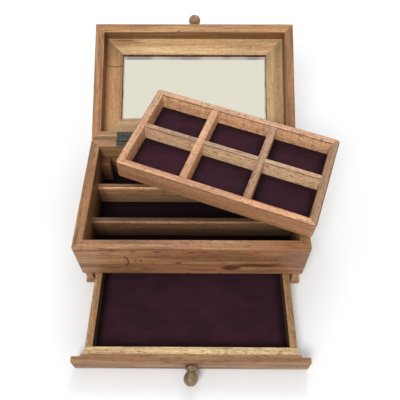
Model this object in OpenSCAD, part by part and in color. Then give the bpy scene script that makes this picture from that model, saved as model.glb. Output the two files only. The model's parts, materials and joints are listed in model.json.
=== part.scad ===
// Wooden vanity box: a case on a drawer base, a lift-out tray and a lid with
// a framed mirror. Front is -Y, the table is z = 0 and the origin is the
// middle of the base's underside. It is drawn open: lid back, drawer out and
// the tray laid crosswise on the rim.

/* [Case] */
// Width of the case, left to right
case_w = 254; // [220:2:300]
// Depth of the case, front to back
case_d = 154; // [140:2:190]
// Height of the case boards
case_h = 57; // [50:1:75]
// Thickness of the case and lid boards
board_t = 11; // [9:0.5:13]
// Thickness of the case floor
floor_t = 4; // [3:0.5:5]
// Depth of the groove that holds the case floor
floor_groove = 3; // [2:0.5:4]
// Thickness of the velvet-covered card on every floor
velvet_t = 1.2; // [0.8:0.2:2]

/* [Compartments] */
// Thickness of the two long dividers
divider_t = 8; // [6:0.5:10]
// Drop from the rim to the tops of the dividers
divider_drop = 23; // [22:1:30]
// Rounding along the tops of the dividers
divider_round = 3; // [1:0.5:4]
// Depth of the front compartment
front_cell_d = 36.5; // [30:0.5:42]
// Depth of the middle compartment
middle_cell_d = 41; // [35:0.5:46]
// Side of the square posts that carry the tray
post_side = 11; // [8:0.5:14]
// Drop from the rim to the tops of the posts
post_drop = 20; // [16:0.5:22]

/* [Base] */
// Height of the base, from the table to the case
base_h = 26; // [22:0.5:32]
// Thickness of the base mouldings at the foot
base_t = 11; // [9:0.5:12]
// How far the hollow of the moulding goes in
cove_in = 3.2; // [1.5:0.1:4]
// Height of the straight band at the foot of the moulding
foot_band = 5; // [3:0.5:7]
// Thickness of the panel under the drawer
base_panel_t = 3.8; // [3:0.2:5]
// Thickness of the strips that guide the drawer
guide_t = 3.5; // [2.5:0.5:5]
// Height of the strips that guide the drawer
guide_h = 14; // [8:1:15]

/* [Drawer] */
// How far the drawer stands open
drawer_out = 94; // [70:1:100]
// Thickness of the drawer's sides, back and inner front
drawer_wall = 8; // [6:0.5:9]
// Thickness of the drawer's bottom
drawer_bottom_t = 2.5; // [2:0.5:4]
// Thickness of the front board's outer lip
lip_t = 6.4; // [5:0.2:8]
// Thickness of the narrower step behind the lip
step_t = 2.6; // [2:0.2:4]
// How far the lip laps over each base moulding
lip_over = 9; // [6:0.5:10]
// Rounding of the front board's outer edges
lip_round = 2.5; // [1:0.5:3]
// Space above the drawer box
drawer_top_gap = 2.5; // [1:0.5:4]
// Space above and below the front board
front_gap = 1.5; // [1:0.5:2.5]
// Space between the drawer box and each guide
side_gap = 0.5; // [0.3:0.1:1]
// Space behind the closed drawer
drawer_back_gap = 1; // [0.5:0.5:3]

/* [Knobs] */
// Diameter of the ball
ball_d = 15; // [12:0.5:17]
// Diameter of the collar against the board
collar_d = 13; // [10:0.5:14]
// Length of the collar
collar_l = 4; // [2:0.5:6]
// Diameter of the waist between collar and ball
waist_d = 8; // [6:0.5:9]
// Distance from the board to the middle of the ball
ball_out = 13; // [12:0.5:16]
// Diameter of the tenon glued into the board
tenon_d = 6; // [4:0.5:7]
// Length of the tenon
tenon_l = 7; // [5:0.5:8]

/* [Lid] */
// Angle of the open lid, counted from closed
lid_open = 153; // [146:1:160]
// Gap between the closed lid and the case
lid_gap = 1; // [0.8:0.1:1.5]
// Depth of the lid boards below the mirror frame
skirt = 15.7; // [12:0.1:20]
// Thickness of the lid's top board
lid_top_t = 5.5; // [4:0.5:8]
// Chamfer around the lid's top board
lid_top_ease = 2; // [1:0.5:3]

/* [Mirror] */
// Width of the frame's rails
frame_w = 22; // [16:1:28]
// Thickness of the frame at its crown
frame_t = 8; // [7:0.5:10]
// Thickness left of the crown at the outer edge
frame_edge_drop = 1.6; // [0.5:0.1:2]
// Thickness of the glass
glass_t = 3; // [2:0.5:4]
// Thickness of the card behind the glass
card_t = 1.3; // [0.8:0.1:1.5]
// How far the frame laps over the glass
glass_lap = 4; // [3:0.5:6]

/* [Hinges] */
// Width of each hinge
hinge_w = 30; // [22:1:36]
// Distance from the side of the case to the hinge
hinge_in = 31.5; // [20:0.5:40]
// Thickness of a hinge leaf
leaf_t = 0.9; // [0.8:0.1:1]
// Bare strip of rim left in front of a leaf
leaf_margin = 0.8; // [0.5:0.1:2]
// Outer radius of the knuckles
knuckle_r = 2; // [1.8:0.1:2.4]
// Radius of the hinge pin
pin_r = 1; // [0.8:0.05:1.1]
// Length of a hinge screw
screw_l = 8; // [6:0.5:9]
// Radius of a hinge screw's shank
screw_r = 0.9; // [0.7:0.1:1.1]
// Radius of a hinge screw's head
screw_head_r = 1.8; // [1.5:0.1:2.1]

/* [Tray] */
// Height of the tray
tray_h = 24.9; // [22:0.1:30]
// Thickness of the tray's four walls
tray_wall = 8.7; // [6:0.1:10]
// Thickness of the long divider
tray_long_t = 7.1; // [5:0.1:9]
// Thickness of the two cross dividers
tray_cross_t = 8.2; // [5:0.1:9]
// Offset of the long divider towards the back
tray_long_off = 1.6; // [0:0.2:4]
// Thickness of the tray's bottom
tray_bottom_t = 3; // [2:0.5:4]
// Height of the tray's bottom above its lower edge
tray_bottom_up = 1.5; // [1:0.5:3]
// Depth of the groove that holds the tray's bottom
tray_groove = 2.5; // [1.5:0.5:4]
// Space between the seated tray and the case, left and right
tray_gap_x = 1.65; // [1:0.05:3]
// Space between the seated tray and the case, front and back
tray_gap_y = 4; // [2:0.5:5]
// Turn of the tray as it lies on the rim
tray_turn = -20.2; // [-24:0.2:-16]
// Middle of the tray as it lies on the rim, left to right
tray_x = 42; // [38:1:46]
// Middle of the tray as it lies on the rim, front to back
tray_y = 34; // [31:1:37]

/* [Hidden] */
$fn = 48;
// Glue line, running clearances, and how far cutters reach past a face
glue = 0.05;
rest_gap = 0.3;
glass_gap = 0.3;
pin_gap = 0.05;
leaf_gap = 0.2;
knuckle_gap = 0.35;
knuckle_side_gap = 0.2;
screw_tip_gap = 0.6;
tenon_tip_gap = 0.2;
cut = 1;
// Edge of the case boards left below the floor's groove
floor_up = 0.5;
// Heights, down from the case, of the moulding's deepest line and of its neck
cove_drop = 10;
neck_drop = 4;
neck_flare = 0.6;
collar_round = 1;
// Shares of a hinge's width taken by its middle knuckle and out to a screw
middle_knuckle_share = 0.4;
screw_share = 0.27;

rim_z = base_h + case_h;
inner_w = case_w - 2 * board_t;
inner_d = case_d - 2 * board_t;
floor_z = base_h + floor_up;
velvet_z = floor_z + floor_t;
divider_z = rim_z - divider_drop;
post_z = rim_z - post_drop;
front_divider_y = -inner_d / 2 + front_cell_d + divider_t / 2;
back_divider_y = front_divider_y + divider_t + middle_cell_d;
back_cell_d = inner_d / 2 - back_divider_y - divider_t / 2;
front_cell_y = front_divider_y - (divider_t + front_cell_d) / 2;
middle_cell_y = (front_divider_y + back_divider_y) / 2;
back_cell_y = back_divider_y + (divider_t + back_cell_d) / 2;

bay_w = case_w - 2 * base_t;
bay_back_y = case_d / 2 - base_t;
cove_low = foot_band;
cove_high = base_h - cove_drop;
cove_rise = cove_high - cove_low;
cove_r = (pow(cove_in, 2) + pow(cove_rise, 2)) / (2 * cove_in);

drawer_w = bay_w - 2 * (guide_t + side_gap);
drawer_z = base_panel_t + rest_gap;
drawer_top_z = base_h - drawer_top_gap;
drawer_side_z = drawer_z + drawer_bottom_t;
front_z = front_gap;
front_h = base_h - 2 * front_gap;
front_mid_z = front_z + front_h / 2;
lip_w = bay_w + 2 * lip_over;
step_w = bay_w - 2 * side_gap;
lip_back_y = -case_d / 2 - rest_gap;
step_back_y = lip_back_y + step_t;
lip_front_y = lip_back_y - lip_t;
drawer_front_y = step_back_y;
drawer_back_y = bay_back_y - drawer_back_gap;
drawer_l = drawer_back_y - drawer_front_y;
panel_front_y = step_back_y + rest_gap;

hinge_y = case_d / 2;
hinge_z = rim_z + lid_gap / 2;
hinge_x = case_w / 2 - hinge_in - hinge_w / 2;
leaf_z = rim_z + lid_gap / 2 - leaf_gap / 2 - leaf_t;
leaf_l = board_t - leaf_margin;
knuckle_cut_r = knuckle_r + knuckle_gap;
middle_knuckle_w = hinge_w * middle_knuckle_share;
outer_knuckle_w = (hinge_w - middle_knuckle_w) / 2 - knuckle_side_gap;
outer_knuckle_x = (hinge_w - outer_knuckle_w) / 2;
screw_x = hinge_w * screw_share;
screw_y = hinge_y - (knuckle_cut_r + leaf_l) / 2;
screw_head_l = screw_head_r - screw_r;

lid_z = rim_z + lid_gap;
frame_z = lid_z + skirt;
lid_board_h = skirt + frame_t;
lid_under_z = lid_z + lid_board_h;
lid_h = lid_board_h + lid_top_t;
knob_z = lid_z + lid_h / 2;
rebate_h = glass_t + card_t + glue;
mirror_w = inner_w - 2 * frame_w + 2 * (glass_lap - glass_gap);
mirror_d = inner_d - 2 * frame_w + 2 * (glass_lap - glass_gap);

tray_l = inner_w - 2 * tray_gap_x;
tray_d = inner_d - 2 * tray_gap_y;
tray_in_l = tray_l - 2 * tray_wall;
tray_in_d = tray_d - 2 * tray_wall;
tray_floor_z = tray_bottom_up + tray_bottom_t;
tray_long_h = tray_h - tray_floor_z;
tray_cell_l = (tray_in_l - 2 * tray_cross_t) / 3;
tray_cross_x = (tray_cell_l + tray_cross_t) / 2;
tray_front_cell_d = tray_in_d / 2 + tray_long_off - tray_long_t / 2;
tray_back_cell_d = tray_in_d / 2 - tray_long_off - tray_long_t / 2;

// Where the tray lies. Its front right edge is on the rim, its back edge is
// on the inner edge of the open lid's back board, and its back left corner
// is on the mirror frame.
tray_fit = 0.35;
turn_c = cos(tray_turn);
turn_s = sin(tray_turn);
lean = 180 - lid_open;
rest_front_y = tray_y + turn_s * tray_l / 2 - turn_c * tray_d / 2;
corner_x = tray_x - turn_c * tray_l / 2 - turn_s * tray_d / 2;
corner_y = tray_y - turn_s * tray_l / 2 + turn_c * tray_d / 2;
function lid_point(along, deep) = [
    hinge_y + along * cos(lean) + (deep + lid_gap / 2) * sin(lean),
    hinge_z + along * sin(lean) - (deep + lid_gap / 2) * cos(lean)];
board_edge = lid_point(board_t, 0);
frame_edge = lid_point(0, skirt);
corner_z = frame_edge[1] + (corner_y - frame_edge[0]) * tan(lean);
slope_y = (board_edge[1] - rim_z) / (board_edge[0] - rest_front_y);
slope_x = (rim_z + slope_y * (corner_y - rest_front_y) - corner_z) / (case_w / 2 - corner_x);
tray_z = rim_z + tray_fit - slope_x * (case_w / 2 - tray_x) - slope_y * (rest_front_y - tray_y);

inner_wood = [0.60, 0.42, 0.27];
case_wood = [0.68, 0.50, 0.33];
tray_wood = [0.72, 0.50, 0.36];
pale_wood = [0.80, 0.68, 0.50];
velvet = [0.24, 0.11, 0.16];
hinge_metal = [0.30, 0.32, 0.30];
mirror_face = [0.86, 0.86, 0.80];
card = [0.55, 0.50, 0.42];

// Boxes given by their low corner and size, or centred left to right
module block(at, size) translate(at) cube(size);
module wide_block(w, y, z, d, h) block([-w / 2, y, z], [w, d, h]);
module wide_square(w, z, h) translate([-w / 2, z]) square([w, h]);

// Outlines drawn in the Y-Z plane and run along X, or in X-Z and run along Y
module along_x(l) rotate([90, 0, 90]) linear_extrude(l, center = true) children();
module along_y(l) rotate([90, 0, 0]) linear_extrude(l, center = true) children();

module at_hinge_axis() translate([0, hinge_y, hinge_z]) rotate([0, 90, 0]) children();

// The lid is drawn closed and then swung back on its hinges
module swung_open()
    translate([0, hinge_y, hinge_z]) rotate([-lid_open, 0, 0])
        translate([0, -hinge_y, -hinge_z]) children();

module pulled_out() translate([0, -drawer_out, 0]) children();

// The tray is drawn about the middle of its underside and then laid down
module laid_on_rim() {
    ex = [turn_c, turn_s, slope_x * turn_c + slope_y * turn_s];
    ez = [-slope_x, -slope_y, 1];
    x = ex / norm(ex);
    z = ez / norm(ez);
    y = cross(z, x);
    multmatrix([
        [x[0], y[0], z[0], tray_x],
        [x[1], y[1], z[1], tray_y],
        [x[2], y[2], z[2], tray_z],
        [0, 0, 0, 1]]) children();
}

function side_sign(side) = side == "left" ? -1 : 1;
function turned(side) = side == "front" ? 0 : side == "right" ? 90 : side == "back" ? 180 : -90;
function mitre_outline(l, t) = [[-l / 2, 0], [l / 2, 0], [l / 2 - t, t], [-l / 2 + t, t]];

// One board, t thick, of a mitred frame that is w by d outside
module mitred_board(side, w, d, t, z, h) {
    across = side == "left" || side == "right";
    rotate([0, 0, turned(side)]) translate([0, -(across ? w : d) / 2, z])
        linear_extrude(h) polygon(mitre_outline(across ? d : w, t));
}

// Case

module floor_groove_cut()
    wide_block(inner_w + 2 * floor_groove, -inner_d / 2 - floor_groove, floor_z - glue,
        inner_d + 2 * floor_groove, floor_t + 2 * glue);

module case_board(side) color(case_wood) difference() {
    mitred_board(side, case_w, case_d, board_t, base_h, case_h);
    floor_groove_cut();
    if (side == "back") for (hinge = ["left", "right"]) {
        hinge_seat(hinge);
        case_screw_holes(hinge);
    }
}

module case_floor() color(inner_wood)
    wide_block(inner_w + 2 * (floor_groove - glue), -inner_d / 2 - floor_groove + glue, floor_z,
        inner_d + 2 * (floor_groove - glue), floor_t);

module cell_velvet(y, d) color(velvet) difference() {
    wide_block(inner_w - 2 * glue, y - d / 2 + glue, velvet_z, d - 2 * glue, velvet_t);
    for (side = ["left", "right"], end = [-1, 1]) post_space(side, end);
}

module divider(y) color(inner_wood) translate([0, y, 0])
    along_x(inner_w - 2 * glue) union() {
        wide_square(divider_t, velvet_z, divider_z - divider_round - velvet_z);
        wide_square(divider_t - 2 * divider_round, velvet_z, divider_z - velvet_z);
        for (s = [-1, 1])
            translate([s * (divider_t / 2 - divider_round), divider_z - divider_round])
                circle(divider_round);
    }

// Posts stand in the corners; end is -1 at the front and 1 at the back
module post_shape(side, end, grow)
    translate([side_sign(side) * (inner_w / 2 - glue - post_side / 2),
        end * (inner_d / 2 - glue - post_side / 2), velvet_z])
        translate([-post_side / 2 - grow, -post_side / 2 - grow, 0])
            cube([post_side + 2 * grow, post_side + 2 * grow, post_z - velvet_z]);
module post_space(side, end) post_shape(side, end, 2 * glue);
module tray_post(side, end) color(inner_wood) post_shape(side, end, 0);

// Base

// Section of the moulding: u runs outward from its inner face, v is height
function cove_points(n) = [for (i = [0 : n])
    let (v = cove_low + cove_rise * i / n)
    [base_t - cove_in + cove_r - sqrt(pow(cove_r, 2) - pow(cove_high - v, 2)), v]];
module moulding_outline()
    polygon(concat([[0, 0], [base_t, 0]], cove_points(10),
        [[base_t - cove_in, base_h - neck_drop],
            [base_t - cove_in + neck_flare, base_h], [0, base_h]]));

module base_side(side) color(case_wood)
    mirror([side == "left" ? 1 : 0, 0, 0]) intersection() {
        translate([bay_w / 2, 0, 0]) along_y(case_d) moulding_outline();
        linear_extrude(base_h) polygon([
            [bay_w / 2, -case_d / 2], [case_w / 2, -case_d / 2],
            [case_w / 2, case_d / 2], [bay_w / 2, bay_back_y]]);
    }

module base_back() color(case_wood) intersection() {
    translate([0, bay_back_y, 0]) along_x(case_w) moulding_outline();
    mitred_board("back", case_w, case_d, base_t, 0, base_h);
}

module base_panel() color(inner_wood)
    wide_block(bay_w - 2 * glue, panel_front_y, 0, bay_back_y - glue - panel_front_y, base_panel_t);

module drawer_guide(side) color(inner_wood)
    translate([side_sign(side) * (bay_w - guide_t) / 2, 0, 0])
        wide_block(guide_t, panel_front_y, base_panel_t,
            bay_back_y - glue - panel_front_y, guide_h);

// Drawer

module drawer_front() color(case_wood) pulled_out() difference() {
    union() {
        translate([0, lip_back_y - lip_t / 2, 0]) along_y(lip_t) intersection() {
            wide_square(lip_w, front_z, front_h);
            rounded_foot(lip_w);
        }
        wide_block(step_w, lip_back_y, front_z, step_t, front_h);
    }
    knob_hole(lip_front_y, front_mid_z);
}

// The front board's lower corners are rounded
module rounded_foot(w) union() {
    wide_square(w, front_z + lip_round, front_h);
    wide_square(w - 2 * lip_round, front_z, front_h);
    for (s = [-1, 1]) translate([s * (w / 2 - lip_round), front_z + lip_round]) circle(lip_round);
}

module drawer_inner_front() color(pale_wood) pulled_out()
    wide_block(drawer_w, drawer_front_y, drawer_side_z, drawer_wall, drawer_top_z - drawer_side_z);

module drawer_side(side) color(inner_wood) pulled_out()
    translate([side_sign(side) * (drawer_w - drawer_wall) / 2, 0, 0])
        wide_block(drawer_wall, drawer_front_y + drawer_wall, drawer_side_z,
            drawer_l - 2 * drawer_wall, drawer_top_z - drawer_side_z);

module drawer_back() color(inner_wood) pulled_out()
    wide_block(drawer_w, drawer_back_y - drawer_wall, drawer_side_z,
        drawer_wall, drawer_top_z - drawer_side_z);

module drawer_bottom() color(pale_wood) pulled_out()
    wide_block(drawer_w, drawer_front_y, drawer_z, drawer_l, drawer_bottom_t);

module drawer_velvet() color(velvet) pulled_out()
    wide_block(drawer_w - 2 * (drawer_wall + glue), drawer_front_y + drawer_wall + glue,
        drawer_side_z, drawer_l - 2 * (drawer_wall + glue), velvet_t);

// Knobs point towards -Y from a board face at y

module knob_hole(y, z) translate([0, y - cut, z]) rotate([-90, 0, 0])
    cylinder(h = tenon_l + cut + tenon_tip_gap, r = tenon_d / 2 + glue);

module knob(y, z) color(inner_wood) translate([0, y, z]) rotate([90, 0, 0]) union() {
    translate([0, 0, -tenon_l]) cylinder(h = tenon_l + collar_l, r = tenon_d / 2);
    rotate_extrude() union() {
        square([collar_d / 2 - collar_round, collar_l]);
        translate([0, collar_round]) square([collar_d / 2, collar_l - 2 * collar_round]);
        for (v = [collar_round, collar_l - collar_round])
            translate([collar_d / 2 - collar_round, v]) circle(collar_round);
        square([waist_d / 2, ball_out]);
        translate([0, ball_out]) intersection() {
            circle(ball_d / 2);
            translate([0, -ball_d / 2]) square([ball_d / 2, ball_d]);
        }
    }
}

module drawer_knob() pulled_out() knob(lip_front_y, front_mid_z);
module lid_knob() swung_open() knob(-case_d / 2, knob_z);

// Lid

module lid_board(side) color(case_wood) swung_open() difference() {
    mitred_board(side, case_w, case_d, board_t, lid_z, lid_board_h);
    if (side == "front") knob_hole(-case_d / 2, knob_z);
    if (side == "back") for (hinge = ["left", "right"]) {
        hinge_seat(hinge);
        lid_screw_holes(hinge);
    }
}

module lid_top() color(inner_wood) swung_open() {
    e = lid_top_ease;
    hull() {
        wide_block(case_w, -case_d / 2, lid_under_z, case_d, lid_top_t - e);
        wide_block(case_w - 2 * e, -case_d / 2 + e, lid_under_z, case_d - 2 * e, lid_top_t);
    }
}

// Section of a frame rail: u runs from the board to the glass, v is up from
// the crown of the moulding. The glass and its card sit in the rebate.
module rail_outline() {
    nose = frame_t - rebate_h;
    polygon([
        [0, frame_t], [0, frame_edge_drop], [frame_w * 0.2, frame_edge_drop * 0.4],
        [frame_w * 0.42, 0], [frame_w * 0.74, 0], [frame_w * 0.86, nose * 0.12],
        [frame_w * 0.95, nose * 0.38], [frame_w, nose * 0.75], [frame_w, nose],
        [frame_w - glass_lap, nose], [frame_w - glass_lap, frame_t]]);
}

module frame_rail(side) color(case_wood) swung_open() {
    across = side == "left" || side == "right";
    l = (across ? inner_d : inner_w) - 2 * glue;
    depth = (across ? inner_w : inner_d) - 2 * glue;
    rotate([0, 0, turned(side)]) translate([0, -depth / 2, frame_z]) intersection() {
        along_x(l) rail_outline();
        linear_extrude(frame_t) polygon(mitre_outline(l, frame_w));
    }
}

module mirror_glass() color(mirror_face) swung_open()
    wide_block(mirror_w, -mirror_d / 2, frame_z + frame_t - rebate_h + glue, mirror_d, glass_t);

module mirror_card() color(card) swung_open()
    wide_block(mirror_w, -mirror_d / 2, lid_under_z - card_t, mirror_d, card_t);

// Hinges

module at_hinge(side) translate([side_sign(side) * hinge_x, 0, 0]) children();

// Room for the leaves and knuckles in both back boards
module hinge_seat(side) at_hinge(side) {
    wide_block(hinge_w + 2 * glue, hinge_y - leaf_l - glue, leaf_z - glue,
        leaf_l + cut, 2 * leaf_t + leaf_gap + 2 * glue);
    at_hinge_axis() cylinder(h = hinge_w + 2 * knuckle_side_gap, r = knuckle_cut_r, center = true);
}

module screw_spots(side) at_hinge(side) for (s = [-1, 1])
    translate([s * screw_x, screw_y, 0]) children();

module case_screw_holes(side) screw_spots(side)
    translate([0, 0, leaf_z - screw_l]) cylinder(h = screw_l + cut, r = screw_r + glue);
module lid_screw_holes(side) screw_spots(side)
    translate([0, 0, 2 * hinge_z - leaf_z - cut]) cylinder(h = screw_l + cut, r = screw_r + glue);

// A countersunk screw with its head's face at z = 0, and the hole that takes it
module screw() union() {
    translate([0, 0, -screw_head_l]) cylinder(h = screw_head_l, r1 = screw_r, r2 = screw_head_r);
    translate([0, 0, screw_tip_gap - screw_l]) cylinder(h = screw_l - screw_tip_gap, r = screw_r);
}
module screw_sink() union() {
    translate([0, 0, -screw_head_l])
        cylinder(h = screw_head_l, r1 = screw_r + glue, r2 = screw_head_r + glue);
    translate([0, 0, -leaf_t - cut]) cylinder(h = leaf_t + cut, r = screw_r + glue);
    cylinder(h = cut, r = screw_head_r + glue);
}

module knuckle(x, w) translate([x, 0, 0]) at_hinge_axis()
    cylinder(h = w, r = knuckle_r, center = true);
module knuckle_room(x, w) translate([x, 0, 0]) at_hinge_axis()
    cylinder(h = w, r = knuckle_cut_r, center = true);

// One leaf lying on the case rim, with the knuckles that belong to it
module leaf(middle) difference() {
    union() {
        difference() {
            wide_block(hinge_w, hinge_y - leaf_l, leaf_z, leaf_l, leaf_t);
            if (middle) for (s = [-1, 1])
                knuckle_room(s * outer_knuckle_x, outer_knuckle_w + 2 * knuckle_side_gap);
            else knuckle_room(0, middle_knuckle_w + 2 * knuckle_side_gap);
        }
        if (middle) knuckle(0, middle_knuckle_w);
        else for (s = [-1, 1]) knuckle(s * outer_knuckle_x, outer_knuckle_w);
    }
    at_hinge_axis() cylinder(h = hinge_w + 2 * cut, r = pin_r + pin_gap, center = true);
    for (s = [-1, 1]) translate([s * screw_x, screw_y, leaf_z + leaf_t]) screw_sink();
}

module case_leaf(side) color(hinge_metal) at_hinge(side) leaf(false);

// The lid's leaf is the same plate turned over about the hinge axis's height
module lid_leaf(side) color(hinge_metal) swung_open() at_hinge(side)
    translate([0, 0, 2 * hinge_z]) mirror([0, 0, 1]) leaf(true);

module hinge_pin(side) color(hinge_metal) at_hinge(side) at_hinge_axis()
    cylinder(h = hinge_w, r = pin_r, center = true);

module hinge_screws_case() color(hinge_metal) for (side = ["left", "right"])
    screw_spots(side) translate([0, 0, leaf_z + leaf_t]) screw();

module hinge_screws_lid() color(hinge_metal) swung_open() for (side = ["left", "right"])
    screw_spots(side) translate([0, 0, 2 * hinge_z - leaf_z - leaf_t]) mirror([0, 0, 1]) screw();

// Tray

module tray_groove_cut()
    wide_block(tray_in_l + 2 * tray_groove, -tray_in_d / 2 - tray_groove, tray_bottom_up - glue,
        tray_in_d + 2 * tray_groove, tray_bottom_t + 2 * glue);

module tray_side(side) color(tray_wood) laid_on_rim() difference() {
    mitred_board(side, tray_l, tray_d, tray_wall, 0, tray_h);
    tray_groove_cut();
}

// The dividers cross in half laps, with the cross dividers on top
module tray_divider_long() color(tray_wood) laid_on_rim() difference() {
    translate([0, tray_long_off, 0])
        wide_block(tray_in_l - 2 * glue, -tray_long_t / 2, tray_floor_z, tray_long_t, tray_long_h);
    for (s = [-1, 1]) translate([s * tray_cross_x, tray_long_off, 0])
        wide_block(tray_cross_t + 2 * glue, -tray_long_t / 2 - cut, tray_floor_z + tray_long_h / 2,
            tray_long_t + 2 * cut, tray_long_h);
}

module tray_divider_cross(side) color(tray_wood) laid_on_rim() difference() {
    translate([side_sign(side) * tray_cross_x, 0, 0])
        wide_block(tray_cross_t, -tray_in_d / 2 + glue, tray_floor_z,
            tray_in_d - 2 * glue, tray_long_h);
    translate([side_sign(side) * tray_cross_x, tray_long_off, 0])
        wide_block(tray_cross_t + 2 * cut, -tray_long_t / 2 - glue, tray_floor_z - cut,
            tray_long_t + 2 * glue, tray_long_h / 2 + cut);
}

module tray_bottom() color(inner_wood) laid_on_rim()
    wide_block(tray_in_l + 2 * (tray_groove - glue), -tray_in_d / 2 - tray_groove + glue,
        tray_bottom_up, tray_in_d + 2 * (tray_groove - glue), tray_bottom_t);

module tray_velvet() color(velvet) laid_on_rim()
    for (column = [-1, 0, 1]) translate([column * (tray_cell_l + tray_cross_t), 0, 0]) {
        wide_block(tray_cell_l - 2 * glue, -tray_in_d / 2 + glue, tray_floor_z,
            tray_front_cell_d - 2 * glue, velvet_t);
        wide_block(tray_cell_l - 2 * glue, tray_in_d / 2 - tray_back_cell_d + glue, tray_floor_z,
            tray_back_cell_d - 2 * glue, velvet_t);
    }

case_board("front");  // case_front
case_board("back");  // case_back
case_board("left");  // case_left
case_board("right");  // case_right
case_floor();
cell_velvet(front_cell_y, front_cell_d);  // case_velvet_front
cell_velvet(middle_cell_y, middle_cell_d);  // case_velvet_middle
cell_velvet(back_cell_y, back_cell_d);  // case_velvet_back
divider(front_divider_y);  // divider_front
divider(back_divider_y);  // divider_back
tray_post("left", -1);  // tray_post_front_left
tray_post("right", -1);  // tray_post_front_right
tray_post("left", 1);  // tray_post_back_left
tray_post("right", 1);  // tray_post_back_right
base_side("left");  // base_left
base_side("right");  // base_right
base_back();
base_panel();
drawer_guide("left");  // drawer_guide_left
drawer_guide("right");  // drawer_guide_right
drawer_front();
drawer_inner_front();
drawer_side("left");  // drawer_left
drawer_side("right");  // drawer_right
drawer_back();
drawer_bottom();
drawer_velvet();
drawer_knob();
lid_top();
lid_board("front");  // lid_front
lid_board("back");  // lid_back
lid_board("left");  // lid_left
lid_board("right");  // lid_right
frame_rail("front");  // mirror_frame_front
frame_rail("back");  // mirror_frame_back
frame_rail("left");  // mirror_frame_left
frame_rail("right");  // mirror_frame_right
mirror_glass();
mirror_card();
lid_knob();
case_leaf("left");  // hinge_case_leaf_left
case_leaf("right");  // hinge_case_leaf_right
lid_leaf("left");  // hinge_lid_leaf_left
lid_leaf("right");  // hinge_lid_leaf_right
hinge_pin("left");  // hinge_pin_left
hinge_pin("right");  // hinge_pin_right
hinge_screws_case();
hinge_screws_lid();
tray_side("front");  // tray_front
tray_side("back");  // tray_back
tray_side("left");  // tray_left
tray_side("right");  // tray_right
tray_divider_long();
tray_divider_cross("left");  // tray_divider_cross_left
tray_divider_cross("right");  // tray_divider_cross_right
tray_bottom();
tray_velvet();
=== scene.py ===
"""The finish of a wooden vanity box: eased boards with their grain, velvet, mirror, hinges and stage."""

import json
import math
import random

import bmesh
import bpy
from mathutils import Matrix, Vector
from mathutils.bvhtree import BVHTree


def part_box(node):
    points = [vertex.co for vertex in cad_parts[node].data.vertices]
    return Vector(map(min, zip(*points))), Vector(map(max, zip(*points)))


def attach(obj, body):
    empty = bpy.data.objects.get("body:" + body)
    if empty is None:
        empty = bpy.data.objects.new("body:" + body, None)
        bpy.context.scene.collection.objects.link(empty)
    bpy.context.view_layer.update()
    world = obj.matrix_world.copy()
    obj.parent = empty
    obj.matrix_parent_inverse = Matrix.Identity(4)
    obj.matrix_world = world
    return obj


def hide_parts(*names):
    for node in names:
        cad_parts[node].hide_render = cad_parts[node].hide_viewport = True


bl_info = {
    "name": "Vanity Box Finish",
    "version": (1, 0, 0),
    "blender": (4, 5, 0),
    "location": "View3D > Sidebar > Vanity Box",
    "description": "Adds the wood, velvet, mirror and metal finish to a packed vanity box",
    "category": "Object",
}

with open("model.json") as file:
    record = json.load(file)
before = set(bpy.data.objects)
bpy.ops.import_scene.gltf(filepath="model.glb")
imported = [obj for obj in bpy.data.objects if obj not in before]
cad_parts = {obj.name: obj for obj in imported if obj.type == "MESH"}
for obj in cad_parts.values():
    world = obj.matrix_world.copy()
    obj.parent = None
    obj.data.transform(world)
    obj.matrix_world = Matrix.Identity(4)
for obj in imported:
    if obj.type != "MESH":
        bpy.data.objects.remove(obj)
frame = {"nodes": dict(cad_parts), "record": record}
NODES = frame["nodes"]
BODY_OF = {node: body for body, nodes in frame["record"]["behaviour"]["bodies"].items() for node in nodes}
SLOT_OF = {part["node"]: part["material_slot"] for part in frame["record"]["subparts"]}

MM = 0.001
RANDOM_SEED = 11

# How close a neighbour lies to an edge that it keeps sharp
SEAT_REACH = 0.12 * MM
HINGE_REACH = 0.5 * MM

# Edges that are shorter or blunter than this aren't rounded
SHORT_EDGE = 0.05 * MM
SHARP_ANGLE = math.radians(30)

# How nearly flat two faces are to be joined, and how close two points or a point and a cut
FLAT_ANGLE = math.radians(0.5)
MERGE_REACH = 0.002 * MM
CUT_REACH = 1e-7

# Where a board may have been sawn from its log, in metres along it, across it and out from its pith,
# and how its lightness and warmth may vary
LOG_REACH = ((0, 2), (-0.05, 0.05), (0.02, 0.06))
LIGHTNESS_REACH = (0.92, 1.06)
WARMTH_REACH = (0.2, 0.8)

# Cosines: a face that looks straight along a direction, one that leans to it, an edge square to it
STRAIGHT_ON = 0.9
LEANING = 0.3
SQUARE = 0.05

# How dark the painted shade low on the case's inner boards and walls is, how dark the painted shadow on
# the inner boards' tops and the painted shade inside the lid are, how much darker the drawer front's top
# is, and how strong the tray's stain is
INNER_PAINTED_SHADE = 0.75
WALL_PAINTED_SHADE = 0.85
TOP_PAINTED_SHADOW = 0.9
BACK_DIVIDER_PAINTED_SHADOW = 1.0
DRAWER_TOP_DARKENING = 0.25
LID_PAINTED_SHADE = 0.45
TRAY_STAIN = 0.50

# How far the mirror's frame laps over its glass
MIRROR_COVER = 3.7 * MM

# A velvet pad's grid, its waves in radians a metre, and how its crown is shared out
PAD_STEP = 3 * MM
WAVES_ALONG = (190, 90)
WAVES_ACROSS = (240, 120)
LEVEL_SHARE = 0.75
WAVE_SHARE = 0.12
TUCK_SHARE = 0.7

# How much slimmer a turned knob is than its solid, its tenon, and the fine turning lines on its ball
KNOB_CLEARANCE = 0.08 * MM
TENON_RADIUS = 3 * MM
COLLAR_STEPS = 8
BALL_STEPS = 40
LINE_ANGLES = (1.05, 1.95)
LINE_WIDTH = 0.035
LINE_DEPTH = 0.16 * MM
KNOB_FACETS = 64

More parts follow.
